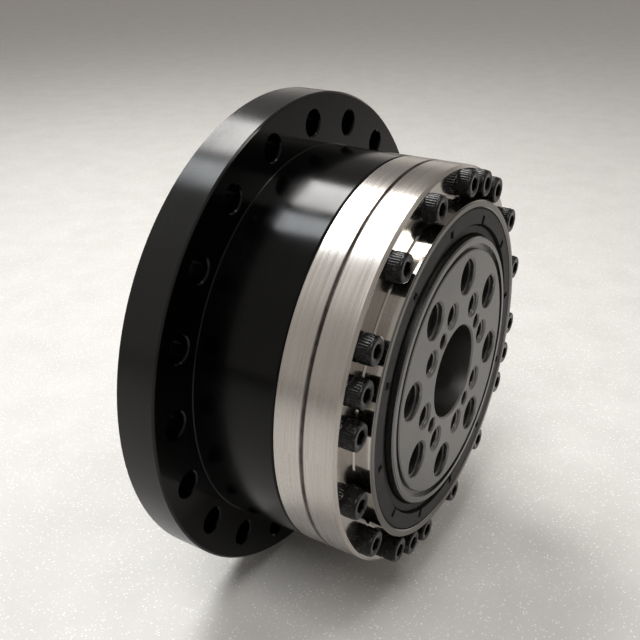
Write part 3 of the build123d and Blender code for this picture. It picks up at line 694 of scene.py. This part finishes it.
def output_plate():
    """The plate as its turned outline, bore and holes, closed by a flat face at each end."""
    face = Vector((0, PLATE_FACE_Y, 0))
    back = PLATE_BACK_Y - PLATE_FACE_Y
    step = PLATE_STEP_Y - PLATE_FACE_Y
    bm = bmesh.new()
    outline = (
        (PLATE_NECK_R - PLATE_EDGE, 0), (PLATE_NECK_R, PLATE_EDGE), (PLATE_NECK_R, step),
        (PLATE_R, step), (PLATE_R, back - PLATE_EDGE), (PLATE_R - PLATE_EDGE, back))
    bore = ((BORE_R + BORE_EDGE, 0), (BORE_R, BORE_EDGE), (BORE_R, back))
    skin(bm, [circle(face, radius, depth, PLATE_POINTS) for radius, depth in outline])
    skin(bm, [circle(face, radius, depth, BORE_POINTS) for radius, depth in bore], BORED)

    bolts = mounts["output_bolts"]["dims"]
    dowels = mounts["output_dowels"]["dims"]
    bolt_pcr, bolt_r = bolts["pcd_mm"] / 2 * MM, bolts["hole_r_mm"] * MM
    dowel_pcr, dowel_r = dowels["pcd_mm"] / 2 * MM, dowels["hole_r_mm"] * MM
    dowel = ((dowel_r + DOWEL_EDGE, 0), (dowel_r, DOWEL_EDGE), (dowel_r, back))
    eighth = TURN / 8
    for pin in centres("dowel_pins"):
        angle = math.atan2(pin.z, pin.x)
        for turn in (0, eighth):
            mouth = polar_point(bolt_pcr, angle + turn, PLATE_FACE_Y)
            threaded_hole(bm, mouth, bolt_r, M8_THREAD, M8_POINTS)
        mouth = polar_point(dowel_pcr, angle + eighth, PLATE_FACE_Y)
        skin(bm, [circle(mouth, radius, depth, DOWEL_POINTS) for radius, depth in dowel])
        pin_mouth = pin + Vector((0, PLATE_BACK_Y, 0))
        pin_floor = circle(pin_mouth, OWN_DOWEL_R, -OWN_DOWEL_DEPTH, DOWEL_POINTS)
        skin(bm, [circle(pin_mouth, OWN_DOWEL_R, 0, DOWEL_POINTS), pin_floor])
        cap(bm, pin_floor, pin_mouth - Vector((0, OWN_DOWEL_DEPTH, 0)))
    for place in centres("flexspline_screws"):
        threaded_hole(bm, place + face, M5_MINOR_R, M5_THREAD, M5_POINTS)
    weld(bm)
    close_face(bm, PLATE_FACE_Y)
    close_face(bm, PLATE_BACK_Y)
    plate = mesh_object("threaded_output_plate", bm)
    assign(plate, PLATE_STEEL, TAPPED_STEEL, BORED_STEEL)
    smooth_by_angle(plate, 28)
    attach(plate, "output")
    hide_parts("output_plate")


# ---------------------------------------------------------------- floor, light, camera

def stage_floor():
    bm = bmesh.new()
    bmesh.ops.create_grid(bm, x_segments=1, y_segments=1, size=TABLE_REACH)
    floor = mesh_object("table_top", bm)
    floor.location = (0, 0, cad_low.z)
    assign(floor, sparkling_table())


def area_light(name, place, target, size_x, size_y, watts, color=(1, 1, 1), up="Y"):
    data = bpy.data.lights.new(name, "AREA")
    data.shape = "RECTANGLE"
    data.size = size_x
    data.size_y = size_y
    data.energy = watts
    data.color = color
    light = bpy.data.objects.new(name, data)
    bpy.context.scene.collection.objects.link(light)
    light.location = place
    light.rotation_mode = "QUATERNION"
    light.rotation_quaternion = (Vector(target) - Vector(place)).to_track_quat("-Z", up)


def in_view(right, up, back):
    """A point given in ring radii along the camera's directions, from the housing's front."""
    centre = Vector((0, BODY_FRONT_Y, 0))
    return centre + BODY_R * (right * VIEW_RIGHT + up * VIEW_UP + back * VIEW_BACK)


def above(angle, height, across):
    """A point overhead, at this angle in the plane across the gear's axis."""
    return Vector((height / math.tan(math.radians(angle)), across, height))


def window_pane(name, angles, along, length, watts_per_square_metre, color):
    """One pane overhead: the highlights on the cylinders are its reflection."""
    start, end = (above(angle, WINDOW_HEIGHT, along) for angle in angles)
    place = (start + end) / 2
    width = (start - end).length
    watts = watts_per_square_metre * width * length
    area_light(name, place, (place.x, 0, 0), length, width, watts, color, "X")


def room():
    """A warm grey room, darker towards +X, where a pale wall stands at the horizon."""
    world = bpy.data.worlds.new("studio")
    world.use_nodes = True
    nodes, links = world.node_tree.nodes, world.node_tree.links
    background = nodes["Background"]
    background.inputs["Color"].default_value = ROOM_COLOR
    direction = nodes.new("ShaderNodeSeparateXYZ")
    links.new(nodes.new("ShaderNodeTexCoord").outputs["Generated"], direction.inputs[0])

    def ramp(value, low, high, out_low, out_high):
        node = nodes.new("ShaderNodeMapRange")
        links.new(value, node.inputs["Value"])
        set_range(node, low, high, out_low, out_high)
        return node.outputs["Result"]

    strength = nodes.new("ShaderNodeMath")
    strength.operation = "MULTIPLY_ADD"
    links.new(ramp(direction.outputs["X"], *FAR_WALL_X, 0.0, FAR_WALL), strength.inputs[0])
    links.new(ramp(direction.outputs["Z"], *FAR_WALL_Z, 1.0, 0.0), strength.inputs[1])
    links.new(ramp(direction.outputs["X"], -1.0, 1.0, ROOM_NEAR, ROOM_FAR), strength.inputs[2])
    links.new(strength.outputs[0], background.inputs["Strength"])
    bpy.context.scene.world = world


def lights():
    for name, pane in WINDOW_PANES.items():
        window_pane(name, *pane)
    area_light("ceiling", CEILING_PLACE, CEILING_TARGET, *CEILING_SIZE, CEILING_WATTS)


def camera():
    data = bpy.data.cameras.new("camera")
    data.lens = LENS
    data.sensor_width = SENSOR
    data.clip_start = 0.01
    data.clip_end = 20.0
    view = bpy.data.objects.new("camera", data)
    bpy.context.scene.collection.objects.link(view)
    view.location = in_view(*VIEW_PLACE)
    turn = Matrix((VIEW_RIGHT, VIEW_UP, VIEW_BACK)).transposed()
    view.rotation_mode = "QUATERNION"
    view.rotation_quaternion = turn.to_quaternion()
    bpy.context.scene.camera = view


def picture_tone():
    tone = bpy.context.scene.view_settings
    tone.view_transform = "Standard"
    tone.exposure = EXPOSURE
    tone.gamma = GAMMA


cap_screws("shoulder_screws", "housing_screws")
cap_screws("ring_screws", "assembly_screws")
output_plate()
stage_floor()
room()
lights()
camera()
picture_tone()
